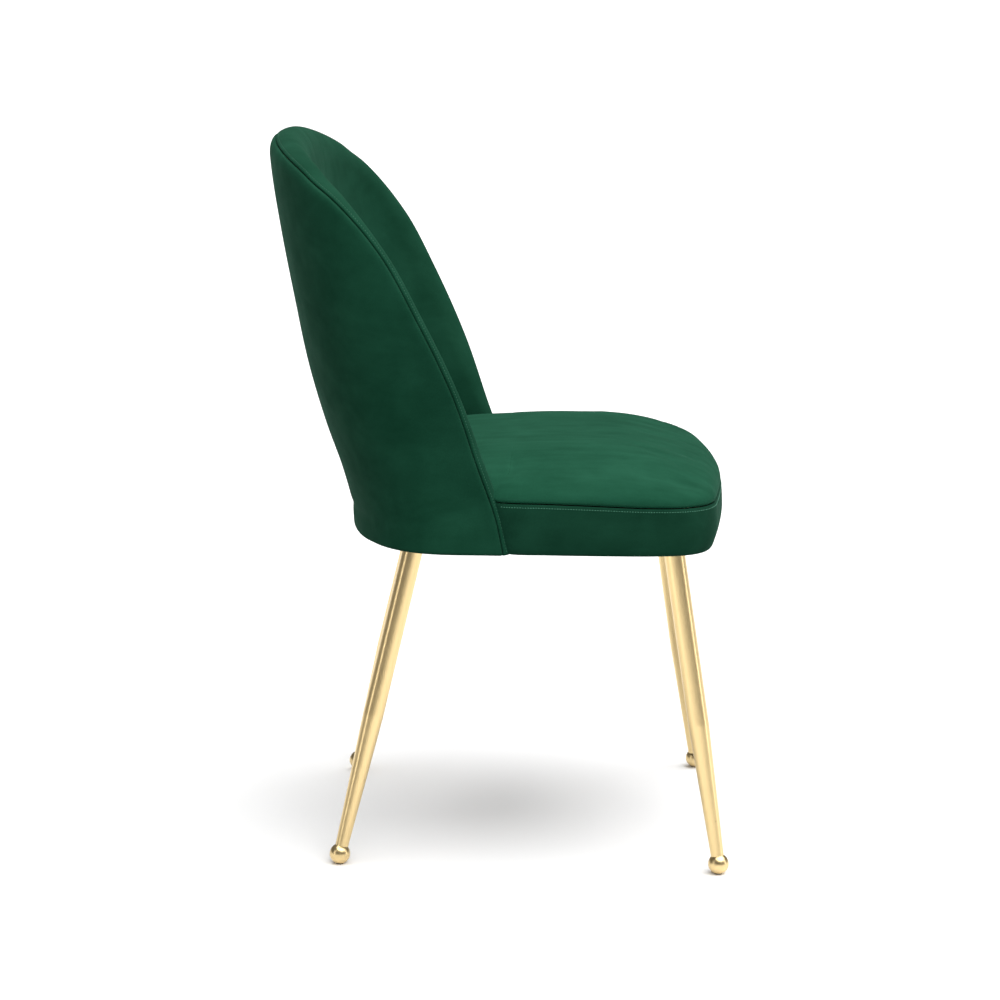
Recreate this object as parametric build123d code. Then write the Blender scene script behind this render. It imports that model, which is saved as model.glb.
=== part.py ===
from build123d import *
import math
import os

# A velvet dining chair with a wraparound back, a crowned seat and four splayed metal legs.
# Millimetres. +Z is up, the chair faces -Y, X runs across it, and the floor is at Z = 0.

# Overall
BACK_REAR_Y = 269.0
SEAT_FRONT_Y = -272.0
CLEARANCE = 0.3
# Half the size of the boxes that cut parts, which is more than any part's reach
FAR = 500.0
# How far a cutting shape runs past what it cuts
OVERRUN = 20.0

# Seat
SEAT_UNDERSIDE_Z = 378.0
SEAM_Z = 432.0
CROWN_Z = 484.0
SEAT_HALF_WIDTH = 235.0
SEAT_CORNER_RADIUS = 75.0
SEAT_FRONT_BOW = 11.0
SEAT_WAIST_Y = 12.0
# The crown rises from the seam to its full height over this distance, and over less at the back's wall
CROWN_REACH = 72.0
CROWN_REAR_REACH = 40.0
CROWN_STEPS = (0, 0.05, 0.15, 0.33, 0.6, 1)
COVER_THICKNESS = 2.0
SEAM_GAP = 0.3
HEM_WIDTH = 22.0
HEM_THICKNESS = 1.3
BOARD_BOTTOM_Z = 380.0
BOARD_THICKNESS = 15.0
BOARD_INSET = 5.0
BOARD_FRONT_INSET = 13.0
DUST_COVER_TOP_Z = 378.2
DUST_COVER_THICKNESS = 0.8
DUST_COVER_INSET = 9.0

# Back: plan sections at rising heights, each as (height, half width, rearmost Y, thickness at the middle)
BACK_SECTIONS = [
    (370.0, 236.0, 171.0, 44.0),
    (404.0, 235.0, 174.0, 45.0),
    (446.0, 235.0, 185.0, 47.0),
    (500.0, 240.0, 204.0, 48.0),
    (570.0, 254.0, 224.0, 48.0),
    (650.0, 273.0, 240.0, 48.0),
    (730.0, 279.0, 255.0, 48.0),
    (800.0, 271.0, 266.0, 48.0),
    (860.0, 250.0, 271.0, 48.0),
]
WING_THICKNESS = 27.0
CORNER_DEPTH = 130.0
CORNER_POWER = 2.4
ARM_FRONT_Y = -70.0
# Side outline of the rim, from the foot of the wing up to the top of the back, as (Y, height)
RIM_POINTS = [(-17, 366), (-6, 418), (13, 475), (43, 562), (83, 648), (125, 724), (168, 778), (211, 814.5)]
RIM_TOP = (248.0, 840.0)
RIM_TOP_ROUND = 24.0
RIM_BAND = 10.0
OUTER_FOAM_THICKNESS = 6.0
SHELL_THICKNESS = 10.0
RIM_FOAM = 16.0
# The shell stops level below the top, where the roll is all foam
SHELL_TOP_Z = 806.0
RIM_TO_SEAT_GAP = 1.0
FOAM_ABOVE_BOARD = 2.0
# In front of this the inner cover runs down to the underside; behind it the board is in the way
INNER_COVER_FOOT_Y = 30.0

# Legs
LEG_DIAMETER = 24.0
LEG_END_DIAMETER = 15.0
LEG_WALL = 1.5
TAPER_SHARE = 0.44
BALL_RADIUS = 12.0
BALL_FLAT_Z = 0.8
GLIDE_RADIUS = 4.5
GLIDE_HEIGHT = 3.0
GLIDE_CHAMFER = 0.4
SPIGOT_LENGTH = 18.0
SPIGOT_DEPTH_IN_BALL = 4.0
PUSH_FIT_GAP = 0.1
# Where each leg's axis meets the mounting plate, and where its ball stands, on the +X side
LEG_TOP = {"front": (168.0, -204.0), "rear": (131.0, 94.0)}
LEG_FOOT = {"front": (218.0, -260.0), "rear": (193.5, 179.0)}

# Leg mounting plates and their fasteners
PLATE_SIZE = 64.0
PLATE_THICKNESS = 3.0
PLATE_CORNER = 8.0
PLATE_TOP_Z = 377.2
PLATE_SHIFT = 12.0
BOLT_SPACING = 46.0
BOLT_RADIUS = 3.0
BOLT_HOLE_RADIUS = 3.3
BOLT_HEAD_RADIUS = 5.5
BOLT_HEAD_HEIGHT = 3.3
BOLT_HEAD_ROUND = 1.2
HEX_SOCKET_RADIUS = 2.3
HEX_SOCKET_DEPTH = 1.8
TEE_FLANGE_RADIUS = 9.0
TEE_FLANGE_THICKNESS = 1.5
TEE_BARREL_RADIUS = 4.0
TEE_BARREL_LENGTH = 10.0
TEE_RELIEF = 0.5

# Screws that hold the back shell to the edge of the seat board
SHELL_SCREW_RADIUS = 2.5
SHELL_SCREW_LENGTH = 28.0
SHELL_SCREW_HEAD_RADIUS = 4.5
SHELL_SCREW_HEAD_HEIGHT = 3.0
SHELL_SCREW_Z = 387.5
SCREW_HOLE_GAP = 0.2
PILOT_HOLE_DEPTH = 44.0
# Rearmost Y of the back's outer face at the height of its screws
REAR_Y_AT_SCREWS = 172.5
SIDE_SCREW_Y = [20.0, 70.0]
REAR_SCREW_X = [-60.0, 0.0, 60.0]

SIDES = {"left": 1, "right": -1}


def above(height):
    """Everything above a height."""
    return Pos(0, 0, height + FAR) * Box(2 * FAR, 2 * FAR, 2 * FAR)


def below(height):
    """Everything below a height."""
    return Pos(0, 0, height - FAR) * Box(2 * FAR, 2 * FAR, 2 * FAR)


def behind(y):
    """Everything behind a Y, above the floor."""
    return Pos(0, y + FAR, FAR) * Box(2 * FAR, 2 * FAR, 2 * FAR)


def wall_depths(section):
    """Points round half a plan section, from the wing's front to the middle of the back,
    each with its inward normal and the wall's thickness there."""
    _, half_width, rear_y, middle_thickness = section
    corner_y = rear_y - CORNER_DEPTH
    points = [(half_width, ARM_FRONT_Y + (corner_y - ARM_FRONT_Y) * k / 3) for k in range(3)]
    for degrees in (0, 8, 20, 34, 50, 66, 80, 90):
        angle = math.radians(degrees)
        x = half_width * math.cos(angle) ** (2 / CORNER_POWER)
        y = corner_y + CORNER_DEPTH * math.sin(angle) ** (2 / CORNER_POWER)
        points.append((x, y))
    depths = []
    for k, (x, y) in enumerate(points):
        before = points[max(k - 1, 0)]
        after = points[min(k + 1, len(points) - 1)]
        along = Vector(after[0] - before[0], after[1] - before[1]).normalized()
        inward = Vector(-along.Y, along.X)
        if k == len(points) - 1:
            inward = Vector(0, -1)
        share = max(0.0, (y - corner_y) / CORNER_DEPTH)
        thickness = WING_THICKNESS + (middle_thickness - WING_THICKNESS) * share**1.5
        depths.append((Vector(x, y), inward, thickness))
    return depths


def section_curve(section, depth, from_inside=False):
    """Points of one plan curve, a depth below the outer face or, from_inside, below the inner one."""
    half = []
    for point, inward, thickness in wall_depths(section):
        below = thickness - depth if from_inside else depth
        half.append(point + inward * below)
    height = section[0]
    right = [(p.X, p.Y, height) for p in half]
    left = [(-p.X, p.Y, height) for p in reversed(half[:-1])]
    return right + left


def wall(outer_depth, inner_depth):
    """The wraparound wall between a depth below its outer face and a depth below its inner face."""
    faces = []
    for section in BACK_SECTIONS:
        outside = Spline(*section_curve(section, outer_depth))
        inside = Spline(*section_curve(section, inner_depth, from_inside=True))
        ends = [Line(outside @ 0, inside @ 0), Line(outside @ 1, inside @ 1)]
        faces.append(make_face([outside, inside, *ends]))
    return loft(faces)


def outer_layer(outer_depth, inner_depth):
    """A layer of even thickness, with both depths measured from the outer face."""
    faces = []
    for section in BACK_SECTIONS:
        outside = Spline(*section_curve(section, outer_depth))
        inside = Spline(*section_curve(section, inner_depth))
        ends = [Line(outside @ 0, inside @ 0), Line(outside @ 1, inside @ 1)]
        faces.append(make_face([outside, inside, *ends]))
    return loft(faces)


def behind_rim(inset, bottom_z):
    """Everything behind the rim's side outline, drawn back by an inset, and above bottom_z."""
    crest = [*RIM_POINTS, RIM_TOP]
    moved = []
    for k, (y, z) in enumerate(crest):
        before = crest[max(k - 1, 0)]
        after = crest[min(k + 1, len(crest) - 1)]
        along = Vector(after[0] - before[0], after[1] - before[1]).normalized()
        moved.append((y + along.Y * inset, z - along.X * inset))
    moved[-1] = (RIM_TOP[0], RIM_TOP[1] - inset)
    round_radius = RIM_TOP_ROUND - inset if inset < RIM_TOP_ROUND / 2 else RIM_TOP_ROUND / 2
    rear_y = RIM_TOP[0] + round_radius
    rear_z = moved[-1][1] - round_radius
    far_y = BACK_REAR_Y + OVERRUN
    with BuildPart() as kept:
        with BuildSketch(Plane.YZ):
            with BuildLine():
                Spline(*moved, tangents=[(moved[1][0] - moved[0][0], moved[1][1] - moved[0][1]), (1, 0)])
                RadiusArc(moved[-1], (rear_y, rear_z), round_radius)
                Polyline((rear_y, rear_z), (far_y, rear_z), (far_y, moved[0][1]), moved[0])
            make_face()
        extrude(amount=FAR, both=True)
    return kept.part - below(bottom_z)


def seat_outline(inset):
    """The seat's plan: a bowed front with round corners, and a rear end that lies inside the back's wall."""
    half_width = SEAT_HALF_WIDTH - inset
    front_y = SEAT_FRONT_Y + inset
    shoulder_y = front_y + SEAT_FRONT_BOW
    radius = SEAT_CORNER_RADIUS - inset
    corner_y = shoulder_y + radius
    rear_inset = min(inset, CROWN_REAR_REACH)
    rear = []
    for point, inward, thickness in wall_depths(BACK_SECTIONS[2])[3:]:
        place = point + inward * (thickness / 2 + rear_inset)
        rear.append((place.X, place.Y))
    rear_curve = rear + [(-x, y) for x, y in reversed(rear[:-1])]
    with BuildSketch() as plan:
        with BuildLine():
            Spline(*rear_curve, tangents=[(0, 1), (0, -1)])
            for side in (1, -1):
                x = side * half_width
                Polyline((side * rear[0][0], rear[0][1]), (x, SEAT_WAIST_Y), (x, corner_y))
                centre = Vector(x - side * radius, corner_y)
                middle = centre + Vector(side, -1).normalized() * radius
                ThreePointArc((x, corner_y), middle, (centre.X, shoulder_y))
            front_x = half_width - radius
            ThreePointArc((front_x, shoulder_y), (0, front_y), (-front_x, shoulder_y))
        make_face()
    return plan.sketch


def crowned_block(inset, bottom_z):
    """The seat's filled shape above bottom_z, with its crown above the seam."""
    block = Pos(0, 0, bottom_z) * extrude(seat_outline(inset), SEAM_Z - bottom_z)
    crown = []
    for step in CROWN_STEPS:
        rise = (1 - (1 - step) ** 2) ** 0.75
        level = SEAM_Z + (CROWN_Z - inset - SEAM_Z) * rise
        crown.append(Pos(0, 0, level) * seat_outline(inset + (CROWN_REACH - inset) * step))
    return block + loft(crown)


def plate_centre(row):
    """Centre of a leg's plate, shifted from the leg's axis towards the middle of the seat."""
    x, y = LEG_TOP[row]
    return x - PLATE_SHIFT, y - math.copysign(PLATE_SHIFT, y)


def bolt_places():
    """Every leg bolt's place in plan."""
    places = []
    for row in LEG_TOP:
        centre_x, centre_y = plate_centre(row)
        for side in SIDES.values():
            for dx in (-0.5, 0.5):
                for dy in (-0.5, 0.5):
                    places.append((side * centre_x + dx * BOLT_SPACING, centre_y + dy * BOLT_SPACING))
    return places


def cylinders(places, radius, bottom_z, top_z):
    """Upright cylinders at places in plan, as one group."""
    height = top_z - bottom_z
    return [Pos(x, y, (bottom_z + top_z) / 2) * Cylinder(radius, height) for x, y in places]


def shell_screw_frames():
    """Each shell screw's frame: its origin on the shell's outer face and Z along the screw, inwards."""
    section = BACK_SECTIONS[0]
    depth = COVER_THICKNESS + OUTER_FOAM_THICKNESS
    frames = []
    for y in SIDE_SCREW_Y:
        for side in SIDES.values():
            origin = (side * (section[1] - depth), y, SHELL_SCREW_Z)
            frames.append(Plane(origin, z_dir=(-side, 0, 0)))
    for x in REAR_SCREW_X:
        share = (abs(x) / section[1]) ** CORNER_POWER
        drop = CORNER_DEPTH * (1 - (1 - share) ** (1 / CORNER_POWER))
        y = REAR_Y_AT_SCREWS - drop - depth
        frames.append(Plane((x, y, SHELL_SCREW_Z), z_dir=(0, -1, 0)))
    return frames


def shell_screw(length, gap=0.0):
    """A countersunk screw along +Z, or with a gap the hole that it goes in."""
    start = -gap
    radius = SHELL_SCREW_RADIUS + gap
    head_radius = SHELL_SCREW_HEAD_RADIUS + gap
    profile = Polyline(
        (0, start),
        (head_radius, start),
        (radius, start + SHELL_SCREW_HEAD_HEIGHT),
        (radius, start + length),
        (0, start + length),
        (0, start),
    )
    return revolve(Plane.XZ * make_face(profile), Axis.Z)


def shell_screws(length, gap=0.0):
    """Every shell screw, or the holes for them."""
    return [frame.location * shell_screw(length, gap) for frame in shell_screw_frames()]


def make_back_parts():
    """The wraparound back: moulded shell, foam on both faces and its two covers."""
    base_z = SEAT_UNDERSIDE_Z
    foot_z = base_z - OVERRUN
    foam_foot_z = BOARD_BOTTOM_Z + BOARD_THICKNESS + FOAM_ABOVE_BOARD
    gap = CLEARANCE
    foam_start = COVER_THICKNESS + gap
    shell_start = COVER_THICKNESS + OUTER_FOAM_THICKNESS
    shell_end = shell_start + SHELL_THICKNESS
    over_board = above(foam_foot_z)
    wing_fronts = below(foam_foot_z + OVERRUN) - behind(INNER_COVER_FOOT_Y)

    outer_cover = outer_layer(0, COVER_THICKNESS) & behind_rim(RIM_BAND + gap, base_z)
    shell_outline = behind_rim(RIM_FOAM, BOARD_BOTTOM_Z) & below(SHELL_TOP_Z)
    outer_foam = outer_layer(foam_start, shell_start - gap) & shell_outline
    shell = outer_layer(shell_start, shell_end) & shell_outline
    shell -= shell_screws(SHELL_SCREW_LENGTH + OVERRUN, SCREW_HOLE_GAP)

    padding = wall(foam_start, foam_start) & behind_rim(foam_start, base_z)
    core = outer_layer(-OVERRUN, shell_end + gap) & behind_rim(RIM_FOAM - gap, foot_z)
    core &= below(SHELL_TOP_Z + gap)
    skin = wall(0, 0) & behind_rim(0, base_z)
    hollow = wall(COVER_THICKNESS, COVER_THICKNESS) & behind_rim(COVER_THICKNESS, foot_z)
    outer_side = outer_layer(-OVERRUN, COVER_THICKNESS + gap) & behind_rim(RIM_BAND, foot_z)
    inner_foam = (padding - core) & over_board
    inner_cover = (skin - hollow - outer_side) & (over_board + wing_fronts)
    return {
        "back_outer_cover": outer_cover,
        "back_outer_foam": outer_foam,
        "back_shell": shell,
        "back_inner_foam": inner_foam,
        "back_inner_cover": inner_cover,
    }


def make_seat_parts():
    """The seat: plywood board, foam, crowned top cover, boxing and dust cover."""
    board_top = BOARD_BOTTOM_Z + BOARD_THICKNESS
    foot_z = SEAT_UNDERSIDE_Z - OVERRUN
    shell_end = COVER_THICKNESS + OUTER_FOAM_THICKNESS + SHELL_THICKNESS
    grown_back = behind_rim(-RIM_TO_SEAT_GAP, foot_z)
    grown_wall = wall(-CLEARANCE, -CLEARANCE) & grown_back
    grown_shell = outer_layer(-CLEARANCE, shell_end + CLEARANCE) & grown_back

    board = Pos(0, 0, BOARD_BOTTOM_Z) * extrude(seat_outline(BOARD_INSET), BOARD_THICKNESS)
    front_edge = seat_outline(0) - seat_outline(BOARD_FRONT_INSET)
    front_edge = Pos(0, 0, BOARD_BOTTOM_Z) * extrude(front_edge, BOARD_THICKNESS)
    board -= grown_shell + (front_edge - behind(SEAT_WAIST_Y - RIM_FOAM))
    barrel_radius = TEE_BARREL_RADIUS + PUSH_FIT_GAP
    board -= cylinders(bolt_places(), barrel_radius, foot_z, board_top + OVERRUN)
    board -= shell_screws(PILOT_HOLE_DEPTH, SCREW_HOLE_GAP)

    foam = crowned_block(COVER_THICKNESS + CLEARANCE, board_top + CLEARANCE) - grown_wall
    tee_top = board_top + TEE_FLANGE_THICKNESS + TEE_RELIEF
    foam -= cylinders(bolt_places(), TEE_FLANGE_RADIUS + TEE_RELIEF, board_top, tee_top)

    skin = crowned_block(0, board_top) - crowned_block(COVER_THICKNESS, foot_z)
    top_cover = skin - below(SEAM_Z + SEAM_GAP) - grown_wall
    hem_z = SEAT_UNDERSIDE_Z + CLEARANCE
    ring = seat_outline(0) - seat_outline(COVER_THICKNESS)
    hem = seat_outline(0) - seat_outline(HEM_WIDTH)
    boxing = extrude(ring, SEAM_Z - SEAM_GAP - hem_z) + extrude(hem, HEM_THICKNESS)
    boxing = Pos(0, 0, hem_z) * boxing - behind(SEAT_WAIST_Y) - grown_wall

    dust_bottom = DUST_COVER_TOP_Z - DUST_COVER_THICKNESS
    dust_cover = Pos(0, 0, dust_bottom) * extrude(seat_outline(DUST_COVER_INSET), DUST_COVER_THICKNESS)
    dust_cover -= cylinders(bolt_places(), BOLT_HOLE_RADIUS, foot_z, board_top)
    return {
        "seat_board": board,
        "seat_foam": foam,
        "seat_top_cover": top_cover,
        "seat_boxing": boxing,
        "dust_cover": dust_cover,
    }


def leg_axis(row, side):
    """A leg's frame: its origin at the ball's centre and Z up along the tube."""
    foot = Vector(side * LEG_FOOT[row][0], LEG_FOOT[row][1], BALL_RADIUS)
    top = Vector(side * LEG_TOP[row][0], LEG_TOP[row][1], PLATE_TOP_Z - PLATE_THICKNESS)
    return Plane(foot, z_dir=top - foot), (top - foot).length


def make_leg(row, side):
    """One tapered tube, cut level under its plate, with the ball foot and glide at its lower end."""
    frame, length = leg_axis(row, side)
    seat_height = math.sqrt(BALL_RADIUS**2 - (LEG_END_DIAMETER / 2) ** 2)
    radius, end_radius = LEG_DIAMETER / 2, LEG_END_DIAMETER / 2
    bore_radius = end_radius - LEG_WALL
    taper_top = length * TAPER_SHARE
    uncut_top = length + OVERRUN
    profile = Polyline(
        (end_radius, seat_height),
        (radius, taper_top),
        (radius, uncut_top),
        (radius - LEG_WALL, uncut_top),
        (radius - LEG_WALL, taper_top),
        (bore_radius, seat_height),
        (end_radius, seat_height),
    )
    tube = frame.location * revolve(Plane.XZ * make_face(profile), Axis.Z)
    tube -= above(PLATE_TOP_Z - PLATE_THICKNESS)

    ball = Sphere(BALL_RADIUS) - above(seat_height - CLEARANCE / 10)
    spigot_bottom = seat_height - SPIGOT_DEPTH_IN_BALL
    spigot = Cylinder(bore_radius - PUSH_FIT_GAP, SPIGOT_LENGTH)
    ball += Pos(0, 0, spigot_bottom + SPIGOT_LENGTH / 2) * spigot
    ball = frame.location * ball
    glide_place = Pos(side * LEG_FOOT[row][0], LEG_FOOT[row][1], GLIDE_HEIGHT / 2)
    ball -= below(BALL_FLAT_Z)
    ball -= glide_place * Cylinder(GLIDE_RADIUS + PUSH_FIT_GAP, GLIDE_HEIGHT + PUSH_FIT_GAP)
    glide = glide_place * Cylinder(GLIDE_RADIUS, GLIDE_HEIGHT)
    glide = chamfer(glide.edges().group_by(Axis.Z)[0], GLIDE_CHAMFER)
    return tube, ball, glide


def make_plate(row, side):
    """The steel plate on top of a leg, with four bolt holes."""
    centre_x, centre_y = plate_centre(row)
    middle_z = PLATE_TOP_Z - PLATE_THICKNESS / 2
    plate = Box(PLATE_SIZE, PLATE_SIZE, PLATE_THICKNESS)
    plate = fillet(plate.edges().filter_by(Axis.Z), PLATE_CORNER)
    holes = GridLocations(BOLT_SPACING, BOLT_SPACING, 2, 2)
    plate -= [place * Cylinder(BOLT_HOLE_RADIUS, 2 * PLATE_THICKNESS) for place in holes]
    return Pos(side * centre_x, centre_y, middle_z) * plate


def make_fasteners():
    """The leg bolts, their tee nuts and the shell screws, each kind as one group of solids."""
    board_top = BOARD_BOTTOM_Z + BOARD_THICKNESS
    plate_bottom = PLATE_TOP_Z - PLATE_THICKNESS
    bolts, nuts = [], []
    for x, y in bolt_places():
        head = Cylinder(BOLT_HEAD_RADIUS, BOLT_HEAD_HEIGHT)
        head = fillet(head.edges().group_by(Axis.Z)[0], BOLT_HEAD_ROUND)
        socket = extrude(RegularPolygon(HEX_SOCKET_RADIUS, 6), HEX_SOCKET_DEPTH)
        head -= Pos(0, 0, -BOLT_HEAD_HEIGHT / 2) * socket
        shank_length = board_top - plate_bottom
        shank = Cylinder(BOLT_RADIUS, shank_length)
        bolts.append(
            Pos(x, y, plate_bottom - BOLT_HEAD_HEIGHT / 2) * head
            + Pos(x, y, plate_bottom + shank_length / 2) * shank
        )
        flange = Pos(x, y, board_top + TEE_FLANGE_THICKNESS / 2) * Cylinder(
            TEE_FLANGE_RADIUS, TEE_FLANGE_THICKNESS
        )
        barrel = Pos(x, y, board_top - TEE_BARREL_LENGTH / 2) * Cylinder(
            TEE_BARREL_RADIUS, TEE_BARREL_LENGTH
        )
        bore = Pos(x, y, board_top) * Cylinder(BOLT_RADIUS + PUSH_FIT_GAP / 2, 2 * OVERRUN)
        nuts.append(flange + barrel - bore)
    screws = shell_screws(SHELL_SCREW_LENGTH)
    return {"leg_bolts": bolts, "tee_nuts": nuts, "shell_screws": screws}


def make_chair():
    """Every sub-part by node name."""
    parts = {**make_back_parts(), **make_seat_parts()}
    for row in LEG_TOP:
        for side_name, side in SIDES.items():
            tube, ball, glide = make_leg(row, side)
            place = f"{row}_{side_name}"
            parts[f"{place}_leg_tube"] = tube
            parts[f"{place}_ball_foot"] = ball
            parts[f"{place}_glide"] = glide
            parts[f"{place}_leg_plate"] = make_plate(row, side)
    parts.update(make_fasteners())
    return parts


os.makedirs("parts", exist_ok=True)
for name, shape in make_chair().items():
    shapes = shape if isinstance(shape, list) else [shape]
    solids = [solid for item in shapes for solid in item.solids()]
    node = solids[0] if len(solids) == 1 else Compound(children=solids)
    export_step(node, f"parts/{name}.step")
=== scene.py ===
import math

import bpy
import numpy as np
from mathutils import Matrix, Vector, noise


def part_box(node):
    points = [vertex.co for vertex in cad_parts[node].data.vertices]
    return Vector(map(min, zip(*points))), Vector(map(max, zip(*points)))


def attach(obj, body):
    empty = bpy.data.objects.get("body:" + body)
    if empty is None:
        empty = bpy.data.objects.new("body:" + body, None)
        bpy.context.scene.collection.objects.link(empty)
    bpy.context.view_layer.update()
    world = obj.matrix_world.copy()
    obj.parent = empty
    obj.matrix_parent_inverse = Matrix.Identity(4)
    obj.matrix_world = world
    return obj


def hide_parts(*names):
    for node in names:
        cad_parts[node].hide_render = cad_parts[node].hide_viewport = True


# A velvet dining chair with a wraparound back, a crowned seat and four splayed brass-coloured legs.
# Metres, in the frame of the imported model: +Z up, the chair faces -Y, the floor is at Z = 0.

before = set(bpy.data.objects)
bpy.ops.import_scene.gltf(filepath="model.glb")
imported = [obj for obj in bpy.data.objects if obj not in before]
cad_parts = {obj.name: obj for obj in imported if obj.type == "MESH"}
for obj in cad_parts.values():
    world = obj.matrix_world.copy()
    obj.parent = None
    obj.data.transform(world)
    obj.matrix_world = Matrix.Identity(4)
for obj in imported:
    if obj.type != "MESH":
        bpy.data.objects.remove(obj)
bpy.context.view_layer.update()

# ---------------------------------------------------------------- sizes

# The back's wall at rising heights: (height, half width, rearmost y, thickness at the middle)
BACK_STATIONS = (
    (0.370, 0.236, 0.171, 0.044),
    (0.404, 0.235, 0.174, 0.045),
    (0.446, 0.235, 0.185, 0.047),
    (0.500, 0.240, 0.204, 0.048),
    (0.570, 0.254, 0.224, 0.048),
    (0.650, 0.273, 0.240, 0.048),
    (0.730, 0.279, 0.255, 0.048),
    (0.800, 0.271, 0.266, 0.048),
    (0.860, 0.250, 0.271, 0.048),
)
WING_THICKNESS = 0.027
CORNER_DEPTH = 0.130
CORNER_POWER = 2.4
# The rim from the side as (height, y), from the foot of a wing up to where the arch of the top begins:
# the same outline as the part's to 1 mm, but 3 to 4 mm further forward at the foot, where the covers turn under
RIM_OUTLINE = (
    (0.380, -0.018),
    (0.418, -0.009),
    (0.475, 0.012),
    (0.562, 0.043),
    (0.648, 0.083),
    (0.724, 0.125),
    (0.778, 0.169),
    (0.784, 0.175),
)
# The arch of the top is a flat ellipse bent round the wall: half its width, its height, and the
# half width that is used
BACK_TOP = 0.840
ARCH_HALF_WIDTH = 0.252
ARCH_HEIGHT = 0.0605
ARCH_USED = 0.238
# How far behind the rim's crest the covers are sewn together, at rising heights
SEAM_BEHIND_RIM = ((0.38, 0.0095), (0.45, 0.0085), (0.55, 0.0066), (0.70, 0.0056), (0.84, 0.0062))
SPINE_TOP = BACK_TOP - 0.12
BACK_ROWS = 100
# How much longer than round the rim's roll is on its inner side, once it is clear of the seat
INNER_ROLL = 1.7
EDGE_RADIUS = 0.004

# The seat's widest line, from the middle of the front round to the wing, as (x, y)
SEAT_EDGE = (
    (0.0, -0.2692),
    (0.050, -0.2676),
    (0.095, -0.2636),
    (0.140, -0.2584),
    (0.175, -0.2535),
    (0.200, -0.2480),
    (0.216, -0.2380),
    (0.2265, -0.2255),
    (0.2330, -0.2110),
    (0.2385, -0.1800),
    (0.2400, -0.1300),
    (0.2390, -0.0800),
    (0.2370, -0.0380),
)
# The seam's height at the front, and as (y, height) where it rises towards the wings
SEAM_HEIGHT = 0.432
SEAM_LINE = (
    (-0.280, 0.4320),
    (-0.220, 0.4320),
    (-0.180, 0.4323),
    (-0.100, 0.4350),
    (-0.005, 0.4370),
    (0.200, 0.4370),
)
# The crown: its height, where it starts, over what distance it rises, and how square its mound is
CROWN_HEIGHT = 0.484
CROWN_START_Y = -0.268
CROWN_START_X = 0.237
CROWN_FRONT = 0.135
CROWN_SIDE = 0.130
CROWN_POWER = 2.3
# How far the crown's start falls back from the middle of the front to its corners
FRONT_BOW = 0.0212
# As (y, fall), how far the crown has fallen from its full height along the middle, towards the back
REAR_FALL = ((-0.3, 0.0), (-0.11, 0.0), (-0.06, 0.0005), (0.009, 0.0040), (0.100, 0.0095), (0.2, 0.0110))
# How deep the seat's padding is pressed into the back's
PRESSED = 0.003
SEAT_ROWS = 170
# The stretch of the centre line, in y, that the seat's rows run in to
SEAT_SPINE = (-0.150, 0.045)


def through(knots, column, at):
    """Smooth values between knots whose first entry is the place along, at the given places."""
    xs = np.array([k[0] for k in knots], float)
    ys = np.array([k[column] for k in knots], float)
    steps = np.diff(xs)
    slopes = np.diff(ys) / steps
    ends = np.empty_like(ys)
    ends[0], ends[-1] = slopes[0], slopes[-1]
    ends[1:-1] = (slopes[:-1] * steps[1:] + slopes[1:] * steps[:-1]) / (xs[2:] - xs[:-2])
    at = np.asarray(at, float)
    k = np.clip(np.searchsorted(xs, at) - 1, 0, len(xs) - 2)
    t = (at - xs[k]) / steps[k]
    near = (2 * t**3 - 3 * t**2 + 1) * ys[k] + (t**3 - 2 * t**2 + t) * steps[k] * ends[k]
    far = (3 * t**2 - 2 * t**3) * ys[k + 1] + (t**3 - t**2) * steps[k] * ends[k + 1]
    return near + far


def smooth_line(points, count):
    """The smooth line through points, at evenly spaced places."""
    points = np.array(points, float)
    along = np.r_[0, np.cumsum(np.linalg.norm(np.diff(points, axis=0), axis=1))]
    knots = np.c_[along, points]
    fine = np.linspace(0, along[-1], count * 8)
    line = np.c_[tuple(through(knots, i, fine) for i in range(1, knots.shape[1]))]
    length = np.r_[0, np.cumsum(np.linalg.norm(np.diff(line, axis=0), axis=1))]
    even = np.linspace(0, length[-1], count)
    return np.c_[tuple(np.interp(even, length, line[:, i]) for i in range(line.shape[1]))]


def corner_curve():
    """Reach, x for a half width of 1, and y from the rear face, round a quarter of the back's plan."""
    turn = np.linspace(0, math.pi / 2, 3000)
    x = np.sin(turn) ** (2 / CORNER_POWER)
    y = CORNER_DEPTH * (np.cos(turn) ** (2 / CORNER_POWER) - 1)
    x, y = np.append(x, 1.0), np.append(y, -CORNER_DEPTH - 0.2)
    reach = np.r_[0, np.cumsum(np.hypot(np.diff(x) * 0.25, np.diff(y)))]
    even = np.linspace(0, reach[-1], 1200)
    return even, np.interp(even, reach, x), np.interp(even, reach, y)


CORNER = corner_curve()


def wall(reach, height):
    """The middle of the back's wall, the direction to its inner side, and its thickness."""
    side = np.where(reach < 0, -1.0, 1.0)
    reach = np.abs(reach)
    width = through(BACK_STATIONS, 1, height)
    rear = through(BACK_STATIONS, 2, height)
    middle = through(BACK_STATIONS, 3, height)
    places, x_unit, y_back = CORNER
    x = width * np.interp(reach, places, x_unit)
    y = rear + np.interp(reach, places, y_back)
    across = width * np.interp(reach, places, np.gradient(x_unit, places))
    back = np.interp(reach, places, np.gradient(y_back, places))
    length = np.hypot(across, back)
    inward = np.stack([back / length, -across / length, np.zeros_like(x)], -1)
    share = np.clip((y - rear + CORNER_DEPTH) / CORNER_DEPTH, 0, 1)
    thickness = WING_THICKNESS + (middle - WING_THICKNESS) * share**1.5
    centre = np.stack([x, y, height], -1) + inward * thickness[..., None] / 2
    centre[..., 0] *= side
    inward[..., 0] *= side
    return centre, inward, thickness


def mirrored(rows, flip):
    """Rows from the right foot to the middle, followed by the same rows on the left."""
    other = rows[::-1][1:].copy()
    other[:, flip] *= -1
    return np.concatenate([rows, other])


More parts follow.
